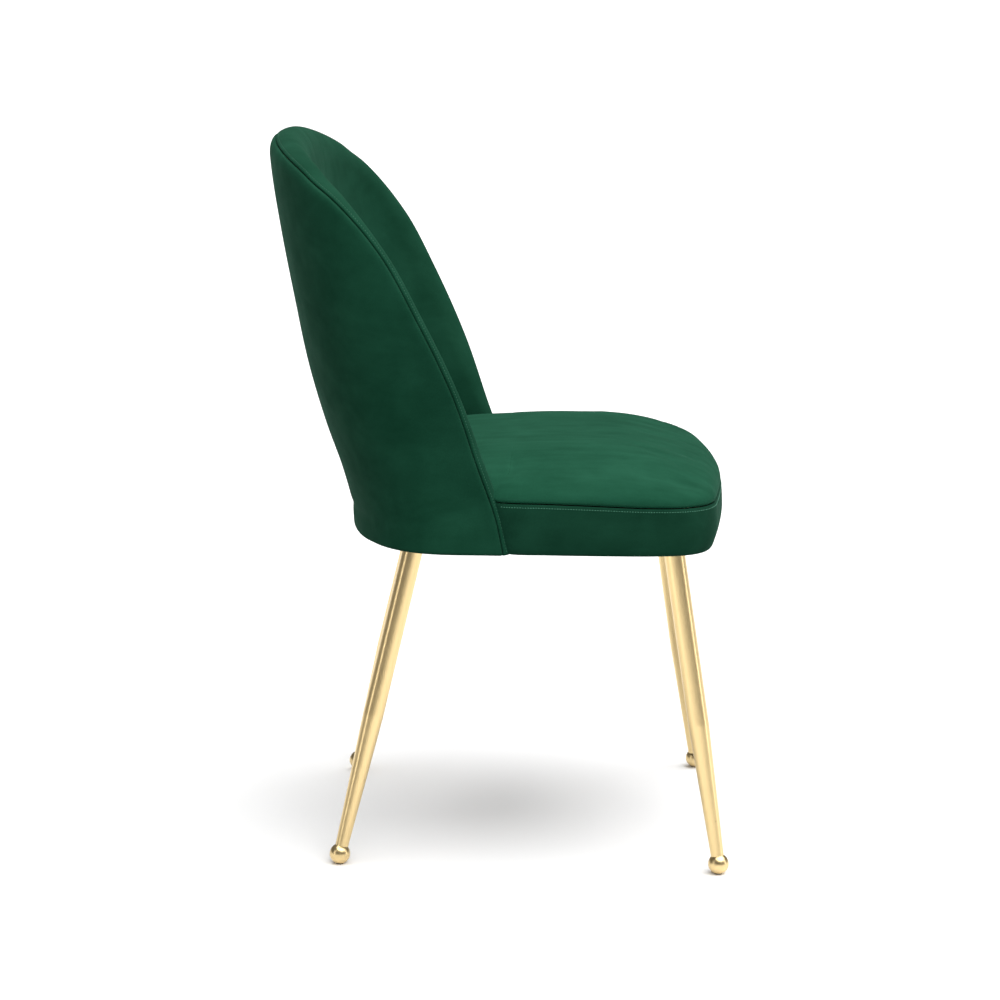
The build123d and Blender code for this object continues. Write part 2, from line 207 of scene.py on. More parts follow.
def wing_reach(height):
    """How far round the wall the rim is at a height, from its side outline."""
    reach = np.linspace(0, 0.42, 800)
    middle = wall(reach, np.full(len(reach), height))[0][:, 1]
    return float(np.interp(-through(RIM_OUTLINE, 1, height), -middle, reach))


def half_rim():
    """Half of the rim as (reach, height): the wing's edge, then the arch to the centre line."""
    heights = np.linspace(RIM_OUTLINE[0][0], RIM_OUTLINE[-1][0], 24)
    wing = [(wing_reach(height), height) for height in heights]
    reach = np.linspace(ARCH_USED, 0, 14)
    drop = ARCH_HEIGHT * (1 - np.sqrt(1 - (reach / ARCH_HALF_WIDTH) ** 2))
    return np.concatenate([wing, np.c_[reach, BACK_TOP - drop]])


def rim_rows():
    """Places on the whole rim as (reach, height) with the direction into the wall's face."""
    line = smooth_line(half_rim(), BACK_ROWS)
    along = np.gradient(line, axis=0)
    along[0], along[-1] = (0, 1), (-1, 0)
    along /= np.linalg.norm(along, axis=1)[:, None]
    into = np.c_[-along[:, 1], along[:, 0]]
    return mirrored(line, 0), mirrored(into, 0)


RIM, INTO_FACE = rim_rows()
RIM_RADIUS = wall(RIM[:, 0], RIM[:, 1])[2] / 2
QUARTER = RIM_RADIUS * math.pi / 2
SEAM_ROUND = RIM_RADIUS * np.arccos(1 - through(SEAM_BEHIND_RIM, 1, RIM[:, 1]) / RIM_RADIUS)
SPINE = np.interp(np.abs(np.linspace(-1, 1, len(RIM))), [0, 1], [SPINE_TOP, RIM_OUTLINE[0][0]])


def back_points(around, relief, share=None):
    """Points of the back's skin for every row of the rim.

    around is the way round the rim from its crest, outwards; relief stands out from the skin.
    share runs on from there to the centre line.
    """
    side = np.sign(around)
    turn = np.minimum(np.abs(around) / RIM_RADIUS, math.pi / 2)
    clear = np.clip((RIM[:, 1] - 0.45) / 0.11, 0, 1)
    stretch = 1 + (INNER_ROLL - 1) * clear**2 * (3 - 2 * clear) * (side < 0)
    depth = RIM_RADIUS * (1 - np.cos(turn)) * stretch + np.maximum(np.abs(around) - QUARTER, 0)
    depth = depth - relief * np.cos(turn)
    place = RIM + INTO_FACE * depth[:, None]
    if share is not None:
        centre_line = np.c_[np.zeros(len(RIM)), SPINE]
        place = place + (centre_line - place) * share
    centre, inward, thickness = wall(place[:, 0], place[:, 1])
    out = -side * (thickness / 2 * np.sin(turn) + relief * np.sin(turn))
    return centre + inward * out[:, None], centre, inward


def grid_faces(rows, columns, first=0):
    """The quads of a grid of points that are listed row by row."""
    r, c = np.meshgrid(np.arange(rows - 1), np.arange(columns - 1), indexing="ij")
    a = (first + r * columns + c).ravel()
    return np.stack([a, a + 1, a + columns + 1, a + columns], -1)


def both_halves(columns):
    """A grid of points from columns of the right half, with their mirror images on the left."""
    rows = len(columns[0])
    grid = mirrored(np.stack(columns, 1).reshape(rows, -1), slice(0, None, 3))
    return grid.reshape(2 * rows - 1, len(columns), 3)


def select_only(piece):
    bpy.ops.object.select_all(action="DESELECT")
    piece.select_set(True)
    bpy.context.view_layer.objects.active = piece


def new_piece(name, points, faces, merge=0.00002):
    """A mesh piece in place, doubles merged and faces outwards."""
    mesh = bpy.data.meshes.new(name)
    mesh.from_pydata(points.tolist(), [], faces.tolist())
    piece = bpy.data.objects.new(name, mesh)
    bpy.context.scene.collection.objects.link(piece)
    select_only(piece)
    bpy.ops.object.mode_set(mode="EDIT")
    bpy.ops.mesh.select_all(action="SELECT")
    bpy.ops.mesh.remove_doubles(threshold=merge)
    bpy.ops.object.mode_set(mode="OBJECT")
    bpy.ops.object.shade_smooth()
    return piece


def settle(piece, held, pressure, most):
    """Lets cloth take its own shape under the padding's pressure, held at its seams, moving at most so far."""
    scene = bpy.context.scene
    before = np.array([v.co[:] for v in piece.data.vertices])
    group = piece.vertex_groups.new(name="held")
    for index, weight in enumerate(held(before)):
        group.add([index], float(weight), "REPLACE")
    cloth = piece.modifiers.new("cloth", "CLOTH")
    settings = cloth.settings
    settings.quality = 6
    settings.mass = 0.3
    settings.tension_stiffness = settings.compression_stiffness = 25
    settings.shear_stiffness = 10
    settings.bending_stiffness = 2
    settings.use_pressure = True
    settings.uniform_pressure_force = pressure
    settings.vertex_group_mass = "held"
    settings.effector_weights.gravity = 0
    cloth.collision_settings.use_collision = False
    cloth.point_cache.frame_end = 20
    for step in range(1, 21):
        scene.frame_set(step)
    select_only(piece)
    bpy.ops.object.modifier_apply(modifier=cloth.name)
    scene.frame_set(1)
    after = np.array([v.co[:] for v in piece.data.vertices])
    moved = after - before
    length = np.linalg.norm(moved, axis=1)[:, None]
    shorter = most * np.tanh(length / most) / np.maximum(length, 1e-9)
    piece.data.vertices.foreach_set("co", (before + moved * shorter).ravel())
    piece.data.update()


def finish_skin(piece, thickness, levels):
    """Gives a skin its cloth's thickness on the hidden side, and rounds it."""
    select_only(piece)
    solid = piece.modifiers.new("cloth", "SOLIDIFY")
    solid.thickness = thickness
    solid.offset = -1
    bpy.ops.object.modifier_apply(modifier=solid.name)
    if levels:
        rounding = piece.modifiers.new("rounding", "SUBSURF")
        rounding.levels = rounding.render_levels = levels
        bpy.ops.object.modifier_apply(modifier=rounding.name)
    bpy.ops.object.shade_smooth()


# ---------------------------------------------------------------- the back's covers

# Across the seam: the way from it, and how far the cloth stands out there
TUCKED_SIDE = ((0, -2.6), (0.5, -1.5), (1.1, -0.5), (1.9, 0.1), (2.9, 0.3), (3.9, 0.1))
STITCHED_SIDE = TUCKED_SIDE + ((4.7, -0.3), (5.5, 0.1), (6.6, 0), (8.5, 0))
PUFFED_SIDE = (
    (0, -2.6), (0.5, -1.4), (1.1, -0.3), (1.9, 0.4), (3, 0.8), (5, 0.9),
    (8, 0.7), (12, 0.5), (18, 0.2), (27, 0), (38, 0),
)
# How far towards the wall's middle each further row of the turned-under bottom edge lies
BOTTOM_TURN = (0.35, 0.65, 0.93)


def with_skirts(columns, centres):
    """Columns of the back as a grid of rows, with rows added at both feet that turn under the wall."""
    grid = np.stack(columns, 1)
    centre = np.stack(centres, 1)
    below = []
    for angle in (30, 60, 90):
        drop = EDGE_RADIUS * math.sin(math.radians(angle))
        pull = EDGE_RADIUS * (1 - math.cos(math.radians(angle)))
        below.append((drop, pull, 0))
    below += [(EDGE_RADIUS, EDGE_RADIUS, share) for share in BOTTOM_TURN]
    ends = []
    for end in (0, -1):
        to_middle = centre[end] - grid[end]
        to_middle[:, 2] = 0
        length = np.maximum(np.linalg.norm(to_middle, axis=1), 1e-6)[:, None]
        rows = []
        for drop, pull, share in below:
            row = grid[end] + to_middle / length * np.minimum(pull, length)
            row = row + (centre[end] - row) * share
            row[:, 2] = grid[end][:, 2] - drop
            rows.append(row)
        ends.append(np.array(rows))
    return np.concatenate([ends[0][::-1], grid, ends[1]])


def waist(points, reach_share):
    """How far the outer cover is drawn in at the waist and at the tucks of its bottom corners."""
    height = points[:, 2]
    x = np.abs(points[:, 0])
    crease = -0.0016 * np.exp(-(((height - 0.404) / 0.007) ** 2)) * np.clip((0.20 - x) / 0.08, 0, 1)
    tuck = -0.0014 * np.exp(-(((x - 0.170) / 0.006) ** 2)) * np.exp(-(((height - 0.376) / 0.03) ** 2))
    return (crease + tuck) * reach_share


def back_cover(name, outside):
    """One cover of the back: the outer panel, or the inner one that rolls over the rim to the seam."""
    sign = 1 if outside else -1
    columns, centres = [], []

    def add(around, relief, share=None):
        points, centre, inward = back_points(around, relief, share)
        if outside:
            fall = 1.0 if share is not None else 0.6
            points = points - inward * waist(points, fall)[:, None]
        columns.append(points)
        # The rim's own roll turns under towards its core
        core = RIM + INTO_FACE * RIM_RADIUS[:, None]
        core_centre = wall(core[:, 0], core[:, 1])[0]
        rolled = (np.abs(around) < QUARTER)[:, None]
        centres.append(np.where(rolled & (share is None), core_centre, centre))

    if outside:
        for way, relief in PUFFED_SIDE:
            add(SEAM_ROUND + way * 0.001, np.full(len(RIM), relief * 0.001))
        start = np.maximum(SEAM_ROUND + PUFFED_SIDE[-1][0] * 0.001, QUARTER)
    else:
        for way, relief in STITCHED_SIDE:
            add(SEAM_ROUND - way * 0.001, np.full(len(RIM), relief * 0.001))
        begin = SEAM_ROUND - STITCHED_SIDE[-1][0] * 0.001
        for share in np.linspace(0, 1, 14)[1:]:
            add(begin + (-QUARTER - begin) * share, np.zeros(len(RIM)))
        for beyond in (0.004, 0.010, 0.018, 0.028):
            add(-QUARTER - beyond, np.zeros(len(RIM)))
        start = QUARTER + 0.028
    for share in np.linspace(0, 1, 17)[1:]:
        add(sign * start, np.zeros(len(RIM)), share)
    grid = with_skirts(columns, centres)
    faces = grid_faces(grid.shape[0], grid.shape[1])
    if not outside:
        faces = faces[:, ::-1]
    return new_piece(name, grid.reshape(-1, 3), faces)


outer_back = back_cover("outer_back_velvet", True)
finish_skin(outer_back, 0.0018, 1)
inner_back = back_cover("inner_back_velvet", False)
finish_skin(inner_back, 0.0018, 1)

# ---------------------------------------------------------------- the seat


def rim_front(height):
    """Where the wing's rim stands furthest forward at a height."""
    knots = ((0.366, -0.022), (0.400, -0.014), (0.432, -0.005), (0.475, 0.013), (0.562, 0.043))
    return float(through(knots, 1, height))


def seat_line(height, inset, count, rear_height=0.44):
    """The seat's outline at a height, from the middle of the front to the middle of the rear.

    inset is how far inside the widest line it lies, at the front and at the sides.
    Beside the wing it runs into the wing's padding, which it is pressed against from there on.
    """
    front = smooth_line(SEAT_EDGE, 80)
    along = np.gradient(front, axis=0)
    along /= np.linalg.norm(along, axis=1)[:, None]
    along[0] = (1, 0)
    inwards = np.c_[-along[:, 1], along[:, 0]]
    to_side = np.abs(inwards[:, :1]) ** 1.5
    front = front + inwards * (inset[0] + (inset[1] - inset[0]) * to_side)
    nose = rim_front(height)
    side_x = front[-1, 0]
    front = front[front[:, 1] < nose - 0.018]
    into_wing = ((0.0008, -0.004), (0.0036, 0.004), (0.0100, 0.012), (0.0180, 0.021), (0.0250, 0.033))
    throat = [(side_x - dx * min(1, (side_x - 0.206) / 0.030), nose + dy) for dx, dy in into_wing]
    reach = np.linspace(0.335, 0.0, 60)
    centre, inward, thickness = wall(reach, np.full(60, max(rear_height, 0.40)))
    rear = (centre + inward * (thickness[:, None] / 2 - PRESSED))[:, :2]
    rear = rear[rear[:, 1] > nose + 0.048]
    rear[-1, 0] = 0
    return smooth_line(np.concatenate([front[::4], throat, rear[:-3:4], rear[-1:]]), count)


def inward_of(line):
    along = np.gradient(line, axis=0)
    along[0], along[-1] = (1, 0), (-1, 0)
    along /= np.linalg.norm(along, axis=1)[:, None]
    return np.c_[-along[:, 1], along[:, 0]]


def seat_spine(line):
    """The seat's centre line, shared out over the places of an outline."""
    along = np.interp(line[:, 1], [line[:, 1].min(), line[:, 1].max()], SEAT_SPINE)
    return np.c_[np.zeros(len(line)), along]


def seat_top_edge():
    """Where the top cover is sewn, and where it runs on inside the wing and along the back."""
    return seat_line(SEAM_HEIGHT + 0.005, (0.0026, 0.0022), SEAT_ROWS, 0.465)


def seam_height(y):
    return through(SEAM_LINE, 1, y)


def crown_fraction(x, y):
    """How far up the crown a place in plan is, in a round-cornered mound."""
    bow = FRONT_BOW * (np.minimum(np.abs(x), 0.2) / 0.2) ** 2
    ahead = np.clip(1 - (y - CROWN_START_Y - bow) / CROWN_FRONT, 0, 1.2) ** CROWN_POWER
    beside = np.clip(1 - (CROWN_START_X - np.abs(x)) / CROWN_SIDE, 0, 1.2) ** CROWN_POWER
    return 1 - (ahead + beside) ** (1 / CROWN_POWER)


def seat_top():
    """The crowned seat cover, from its sewn edge to its middle."""
    edge = seat_top_edge()
    inward = inward_of(edge)
    nose = rim_front(SEAM_HEIGHT)
    # Sewn from the front to inside the wing; beside the wing and the back it only lies against them
    sewn = np.clip((nose + 0.030 - edge[:, 1]) / 0.022, 0, 1)
    start = crown_fraction(edge[:, 0], edge[:, 1]) * sewn
    spine = seat_spine(edge)
    steps = (
        (0, -1.8), (0.03, -1.0), (0.08, -0.4), (0.16, 0), (0.3, 0.1), (0.6, 0.2), (1.1, 0.2),
        (1.9, 0.1), (3, 0.1), (4.5, 0), (6.5, 0), (9, 0),
    )
    columns = []

    def add(place, relief):
        away = np.clip(np.linalg.norm(place - edge, axis=1) / 0.045, 0, 1)
        least = start * (1 - away**2 * (3 - 2 * away))
        up = np.clip((crown_fraction(place[:, 0], place[:, 1]) - least) / (1 - least), 0, 1)
        rise = (1 - (1 - up) ** 2) ** 0.48
        seam = seam_height(place[:, 1])
        row = np.c_[place, seam + (CROWN_HEIGHT - through(REAR_FALL, 1, place[:, 1]) - seam) * rise]
        row[:, :2] -= inward * np.reshape(relief, (-1, 1))
        columns.append(row)

    for way, relief in steps:
        add(edge + inward * way * 0.001, relief * 0.001 * sewn)
    for way in (0.012, 0.016, 0.021, 0.027, 0.034):
        add(edge + inward * way, 0)
    base = edge + inward * 0.034
    for share in np.linspace(0, 1, 22)[1:]:
        add(base + (spine - base) * share, 0)
    grid = both_halves(columns)
    faces = grid_faces(grid.shape[0], grid.shape[1])[:, ::-1]
    return new_piece("seat_top_velvet", grid.reshape(-1, 3), faces)


def held_beside_seam(points):
    """1 on the sewn edge and inside the back's padding, 0 from 25 mm inside them."""
    edge = seat_top_edge()
    aside = np.abs(points[:, None, 0]) - edge[None, :, 0]
    along = points[:, None, 1] - edge[None, :, 1]
    gap = np.sqrt((aside**2 + along**2).min(axis=1))
    return np.clip(1.1 - gap / 0.025, 0, 1)


seat_top_piece = seat_top()
settle(seat_top_piece, held_beside_seam, 4.0, 0.003)
finish_skin(seat_top_piece, 0.0018, 1)


def with_seam_line(height, y):
    """A height on the boxing, lifted where the seam rises towards the wings."""
    return height + (seam_height(y) - SEAM_HEIGHT) * min(max((height - 0.395) / 0.037, 0), 1)


def seat_boxing():
    """The band below the seam, from behind one wing to behind the other, turned under at the bottom."""
    # height, and how far inside the widest line at the front and at the sides
    rows = (
        (0.4316, 4.6, 4.0),
        (0.4313, 3.8, 3.2),
        (0.4307, 2.9, 2.5),
        (0.4299, 2.3, 2.0),
        (0.4288, 1.9, 1.7),
        (0.4280, 1.8, 1.6),
        (0.4268, 1.6, 1.5),
        (0.4245, 1.2, 1.2),
        (0.4200, 0.8, 0.9),
        (0.4130, 0.5, 0.5),
        (0.4050, 0.0, 0.1),
        (0.3980, 0.3, 0.0),
        (0.3900, 2.0, 0.1),
        (0.3820, 4.8, 0.4),
        (0.3792, 6.2, 1.4),
        (0.3775, 8.0, 3.2),
        (0.3769, 10.5, 5.5),
        (0.3773, 18.0, 13.0),
        (0.3778, 27.0, 22.0),
    )
    grid = []
    for height, front, side in rows:
        line = seat_line(height, (front * 0.001, side * 0.001), SEAT_ROWS)
        last = np.argmax(line[:, 1] > rim_front(height) + 0.030)
        line = smooth_line(line[: last + 1 : 2], 120)
        both = np.concatenate([line[::-1], line[1:] * (-1, 1)])
        grid.append(np.c_[both, with_seam_line(height, both[:, 1])])
    grid = np.stack(grid, 0)
    faces = grid_faces(grid.shape[0], grid.shape[1])
    return new_piece("seat_boxing_velvet", grid.reshape(-1, 3), faces)


boxing_piece = seat_boxing()
finish_skin(boxing_piece, 0.0016, 1)

# ---------------------------------------------------------------- topstitching


def stitch_row(name, places, directions, outwards, pitch, length, width):
    """A row of short thread stitches laid along a line."""
    spans = np.linalg.norm(np.diff(places, axis=0), axis=1)
    along = np.r_[0, np.cumsum(spans)]
    count = int(along[-1] / pitch)
    at = (np.arange(count) + 0.5) * along[-1] / count
    place = np.c_[tuple(np.interp(at, along, places[:, i]) for i in range(3))]
    out = np.c_[tuple(np.interp(at, along, outwards[:, i]) for i in range(3))]
    way = np.c_[tuple(np.interp(at, along, directions[:, i]) for i in range(3))]
    bpy.ops.object.select_all(action="DESELECT")
    bpy.ops.mesh.primitive_ico_sphere_add(subdivisions=1, radius=1)
    single = bpy.context.object
    corners = np.array([v.co[:] for v in single.data.vertices])
    faces = np.array([p.vertices[:] for p in single.data.polygons])
    bpy.data.objects.remove(single)
    way /= np.linalg.norm(way, axis=1)[:, None]
    out -= way * (out * way).sum(1)[:, None]
    out /= np.linalg.norm(out, axis=1)[:, None]
    across = np.cross(way, out)
    points = (
        place[:, None]
        + way[:, None] * corners[None, :, :1] * length / 2
        + across[:, None] * corners[None, :, 1:2] * width / 2
        + out[:, None] * corners[None, :, 2:] * width * 0.35
    )
    all_faces = faces[None] + (np.arange(count) * len(corners))[:, None, None]
    return new_piece(name, points.reshape(-1, 3), all_faces.reshape(-1, 3), 0.0000001)


def rim_stitches():
    around = SEAM_ROUND - 0.0047
    points, _, _ = back_points(around, np.full(len(RIM), -0.0002))
    proud, _, _ = back_points(around, np.full(len(RIM), 0.0010))
    return stitch_row(
        "rim_topstitching", points, np.gradient(points, axis=0), proud - points, 0.0034, 0.0021, 0.0009
    )


def seat_stitches():
    height, front, side = 0.4280, 1.75, 1.55
    line = seat_line(height, (front * 0.001, side * 0.001), SEAT_ROWS)
    line = line[line[:, 1] < rim_front(height) + 0.002]
    line = line[: np.argmax(line[:, 0]) + 60]
    inward = inward_of(line)
    inward[-1] = inward[-2]
    both = np.concatenate([line[::-1], line[1:] * (-1, 1)])
    out = np.concatenate([-inward[::-1], -inward[1:] * (-1, 1)])
    points = np.c_[both, with_seam_line(height, both[:, 1])]
    outwards = np.c_[out, np.full(len(out), 0.25)]
    return stitch_row(
        "seat_topstitching", points, np.gradient(points, axis=0), outwards, 0.0030, 0.0017, 0.0011
    )


rim_thread = rim_stitches()
seat_thread = seat_stitches()

# ---------------------------------------------------------------- the dust cover


def dust_cover():
    """The cloth stapled under the seat, drawn flat with a little slack between its staples."""
    line = seat_line(0.380, (0.012, 0.012), 110)
    spine = seat_spine(line)
    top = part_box("dust_cover")[0].z + 0.0002
    columns = []
    for share in np.r_[0, 0.02, 0.05, 0.09, np.linspace(0.14, 1, 14)]:
        place = line + (spine - line) * share
        columns.append(np.c_[place, np.full(len(line), top)])
    grid = both_halves(columns)
    slack_across = np.clip(1 - (grid[..., 0] / 0.13) ** 4, 0, 1)
    slack_along = np.clip(1 - ((grid[..., 1] + 0.05) / 0.13) ** 4, 0, 1)
    slack = slack_across * slack_along
    for place, sag in zip(grid.reshape(-1, 3), slack.ravel()):
        ripple = noise.noise(Vector((place[0] * 14, place[1] * 9, 3.1)))
        place[2] -= 0.0022 * sag + 0.0007 * ripple * sag
    faces = grid_faces(grid.shape[0], grid.shape[1])[:, ::-1]
    return new_piece("dust_cover_cloth", grid.reshape(-1, 3), faces)


dust_piece = dust_cover()
finish_skin(dust_piece, 0.0005, 1)

# ---------------------------------------------------------------- materials


def new_group(name, inputs, outputs):
    group = bpy.data.node_groups.new(name, "ShaderNodeTree")
    for label, kind, value in inputs:
        socket = group.interface.new_socket(label, in_out="INPUT", socket_type=kind)
        if value is not None:
            socket.default_value = value
    for label, kind in outputs:
        group.interface.new_socket(label, in_out="OUTPUT", socket_type=kind)
    return group, group.nodes.new("NodeGroupInput"), group.nodes.new("NodeGroupOutput")


def make_velvet_group():
    """Velvet's nap: wide soft blotches where the pile leans, faint streaks, and the pile's fine grain."""
    group, given, out = new_group(
        "velvet_nap",
        [
            ("Vector", "NodeSocketVector", None),
            ("Dark", "NodeSocketColor", (0.01, 0.05, 0.03, 1)),
            ("Light", "NodeSocketColor", (0.03, 0.12, 0.07, 1)),
            ("Streaks", "NodeSocketFloat", 0.5),
        ],
        [("Color", "NodeSocketColor"), ("Roughness", "NodeSocketFloat"), ("Height", "NodeSocketFloat")],
    )
    nodes, links = group.nodes, group.links
    blotch = nodes.new("ShaderNodeTexNoise")
    blotch.inputs["Scale"].default_value = 17
    blotch.inputs["Detail"].default_value = 3
    blotch.inputs["Roughness"].default_value = 0.55
    blotch.inputs["Distortion"].default_value = 0.6
    stretch = nodes.new("ShaderNodeMapping")
    stretch.inputs["Scale"].default_value = (55, 9, 40)
    streak = nodes.new("ShaderNodeTexNoise")
    streak.inputs["Scale"].default_value = 1
    streak.inputs["Detail"].default_value = 4
    streak.inputs["Roughness"].default_value = 0.6
    pile = nodes.new("ShaderNodeTexNoise")
    pile.inputs["Scale"].default_value = 900
    pile.inputs["Detail"].default_value = 2
    pile.inputs["Roughness"].default_value = 0.7
    links.new(given.outputs["Vector"], blotch.inputs["Vector"])
    links.new(given.outputs["Vector"], stretch.inputs["Vector"])
    links.new(stretch.outputs["Vector"], streak.inputs["Vector"])
    links.new(given.outputs["Vector"], pile.inputs["Vector"])
    lean = nodes.new("ShaderNodeMix")
    lean.data_type = "FLOAT"
    links.new(given.outputs["Streaks"], lean.inputs["Factor"])
    links.new(blotch.outputs["Fac"], lean.inputs["A"])
    links.new(streak.outputs["Fac"], lean.inputs["B"])
    spread = nodes.new("ShaderNodeMapRange")
    spread.inputs["From Min"].default_value = 0.30
    spread.inputs["From Max"].default_value = 0.70
    links.new(lean.outputs["Result"], spread.inputs["Value"])
    grain = nodes.new("ShaderNodeMapRange")
    grain.inputs["From Min"].default_value = 0.25
    grain.inputs["From Max"].default_value = 0.75
    grain.inputs["To Min"].default_value = -0.16
    grain.inputs["To Max"].default_value = 0.16
    links.new(pile.outputs["Fac"], grain.inputs["Value"])
    total = nodes.new("ShaderNodeMath")
    total.operation = "ADD"
    total.use_clamp = True
    links.new(spread.outputs["Result"], total.inputs[0])
    links.new(grain.outputs["Result"], total.inputs[1])
    mix = nodes.new("ShaderNodeMix")
    mix.data_type = "RGBA"
    links.new(total.outputs["Value"], mix.inputs["Factor"])
    links.new(given.outputs["Dark"], mix.inputs["A"])
    links.new(given.outputs["Light"], mix.inputs["B"])
    links.new(mix.outputs["Result"], out.inputs["Color"])
    rough = nodes.new("ShaderNodeMapRange")
    rough.inputs["To Min"].default_value = 0.95
    rough.inputs["To Max"].default_value = 0.80
    links.new(total.outputs["Value"], rough.inputs["Value"])
    links.new(rough.outputs["Result"], out.inputs["Roughness"])
    links.new(pile.outputs["Fac"], out.inputs["Height"])
    return group


VELVET_NAP = make_velvet_group()


def new_material(name):
    material = bpy.data.materials.new(name)
    material.use_nodes = True
    shader = material.node_tree.nodes["Principled BSDF"]
    return material, material.node_tree.nodes, material.node_tree.links, shader


def velvet(name, dark, light, streaks=0.5, sheen=0.06):
    material, nodes, links, shader = new_material(name)
    shader.inputs["Specular IOR Level"].default_value = 0.08
    shader.inputs["Sheen Weight"].default_value = sheen
    shader.inputs["Sheen Roughness"].default_value = 0.45
    shader.inputs["Sheen Tint"].default_value = (0.14, 0.62, 0.38, 1)
    where = nodes.new("ShaderNodeTexCoord")
    nap = nodes.new("ShaderNodeGroup")
    nap.node_tree = VELVET_NAP
    nap.inputs["Dark"].default_value = (*dark, 1)
    nap.inputs["Light"].default_value = (*light, 1)
    nap.inputs["Streaks"].default_value = streaks
    links.new(where.outputs["Object"], nap.inputs["Vector"])
    links.new(nap.outputs["Color"], shader.inputs["Base Color"])
    links.new(nap.outputs["Roughness"], shader.inputs["Roughness"])
    bump = nodes.new("ShaderNodeBump")
    bump.inputs["Strength"].default_value = 0.35
    bump.inputs["Distance"].default_value = 0.0004
    links.new(nap.outputs["Height"], bump.inputs["Height"])
    links.new(bump.outputs["Normal"], shader.inputs["Normal"])
    return material


GREEN_DARK = (0.0040, 0.0370, 0.0190)
GREEN_LIGHT = (0.0080, 0.0570, 0.0310)
velvet_back = velvet("dark_green_velvet", GREEN_DARK, GREEN_LIGHT, 0.35)
# The boxing's velvet is darkened as painted shade and the seat's is lightened as painted light from above:
# shaded and lit copies of the one velvet
velvet_painted_shade_boxing = velvet(
    "dark_green_velvet_painted_shade_boxing", [c * 0.72 for c in GREEN_DARK], [c * 0.8 for c in GREEN_LIGHT], 0.5
)
velvet_painted_light_seat = velvet(
    "dark_green_velvet_painted_light_seat", [c * 1.2 for c in GREEN_DARK], [c * 1.25 for c in GREEN_LIGHT], 0.6
)


def metal(name, colour, roughness, grain, stretch, bump_size):
    """A metal finish with fine drawn grain and small changes of gloss."""
    material, nodes, links, shader = new_material(name)
    shader.inputs["Metallic"].default_value = 1
    where = nodes.new("ShaderNodeTexCoord")
    draw = nodes.new("ShaderNodeMapping")
    draw.inputs["Scale"].default_value = stretch
    lines = nodes.new("ShaderNodeTexNoise")
    lines.inputs["Scale"].default_value = grain
    lines.inputs["Detail"].default_value = 3
    links.new(where.outputs["Object"], draw.inputs["Vector"])
    links.new(draw.outputs["Vector"], lines.inputs["Vector"])
    tone = nodes.new("ShaderNodeMix")
    tone.data_type = "RGBA"
    tone.inputs["A"].default_value = (*[c * 0.86 for c in colour], 1)
    tone.inputs["B"].default_value = (*colour, 1)
    links.new(lines.outputs["Fac"], tone.inputs["Factor"])
    links.new(tone.outputs["Result"], shader.inputs["Base Color"])
    gloss = nodes.new("ShaderNodeMapRange")
    gloss.inputs["To Min"].default_value = roughness - 0.05
    gloss.inputs["To Max"].default_value = roughness + 0.05
    links.new(lines.outputs["Fac"], gloss.inputs["Value"])
    links.new(gloss.outputs["Result"], shader.inputs["Roughness"])
    bump = nodes.new("ShaderNodeBump")
    bump.inputs["Strength"].default_value = 0.25
    bump.inputs["Distance"].default_value = bump_size
    links.new(lines.outputs["Fac"], bump.inputs["Height"])
    links.new(bump.outputs["Normal"], shader.inputs["Normal"])
    return material


brass = metal("satin_brass", (0.80, 0.61, 0.31), 0.30, 40, (16, 16, 0.6), 0.00004)
black_steel = metal("black_powder_coat", (0.03, 0.03, 0.032), 0.55, 900, (1, 1, 1), 0.0001)
zinc = metal("zinc_plate", (0.62, 0.63, 0.64), 0.38, 300, (1, 1, 1), 0.00005)


def plain_grained(name, dark, light, roughness, scale, stretch, bump_size):
    """A dull material with grain, for timber, foam, cloth and nylon."""
    material, nodes, links, shader = new_material(name)
    shader.inputs["Specular IOR Level"].default_value = 0.25
    where = nodes.new("ShaderNodeTexCoord")
    run = nodes.new("ShaderNodeMapping")
    run.inputs["Scale"].default_value = stretch
    grain = nodes.new("ShaderNodeTexNoise")
    grain.inputs["Scale"].default_value = scale
    grain.inputs["Detail"].default_value = 5
    links.new(where.outputs["Object"], run.inputs["Vector"])
    links.new(run.outputs["Vector"], grain.inputs["Vector"])
    tone = nodes.new("ShaderNodeMix")
    tone.data_type = "RGBA"
    tone.inputs["A"].default_value = (*dark, 1)
    tone.inputs["B"].default_value = (*light, 1)
    links.new(grain.outputs["Fac"], tone.inputs["Factor"])
    links.new(tone.outputs["Result"], shader.inputs["Base Color"])
    rough = nodes.new("ShaderNodeMapRange")
    rough.inputs["To Min"].default_value = roughness - 0.06
    rough.inputs["To Max"].default_value = roughness + 0.06
    links.new(grain.outputs["Fac"], rough.inputs["Value"])
    links.new(rough.outputs["Result"], shader.inputs["Roughness"])
    bump = nodes.new("ShaderNodeBump")
    bump.inputs["Strength"].default_value = 0.4
    bump.inputs["Distance"].default_value = bump_size
    links.new(grain.outputs["Fac"], bump.inputs["Height"])
    links.new(bump.outputs["Normal"], shader.inputs["Normal"])
    return material


plywood = plain_grained("birch_plywood", (0.42, 0.27, 0.14), (0.62, 0.45, 0.27), 0.6, 60, (1, 8, 8), 0.0002)
foam = plain_grained("upholstery_foam", (0.70, 0.66, 0.52), (0.86, 0.83, 0.70), 0.9, 700, (1, 1, 1), 0.0006)
dust_cloth = plain_grained(
    "black_nonwoven", (0.010, 0.010, 0.011), (0.028, 0.028, 0.030), 0.85, 1200, (1, 1, 1), 0.0003
)
nylon = plain_grained("black_nylon", (0.015, 0.015, 0.016), (0.03, 0.03, 0.032), 0.5, 400, (1, 1, 1), 0.0001)
rim_green = plain_grained(
    "rim_thread", (0.020, 0.085, 0.052), (0.040, 0.130, 0.085), 0.6, 2500, (1, 1, 1), 0.0001
)
seat_green = plain_grained(
    "green_thread", (0.055, 0.190, 0.125), (0.110, 0.300, 0.205), 0.6, 2500, (1, 1, 1), 0.0001
)


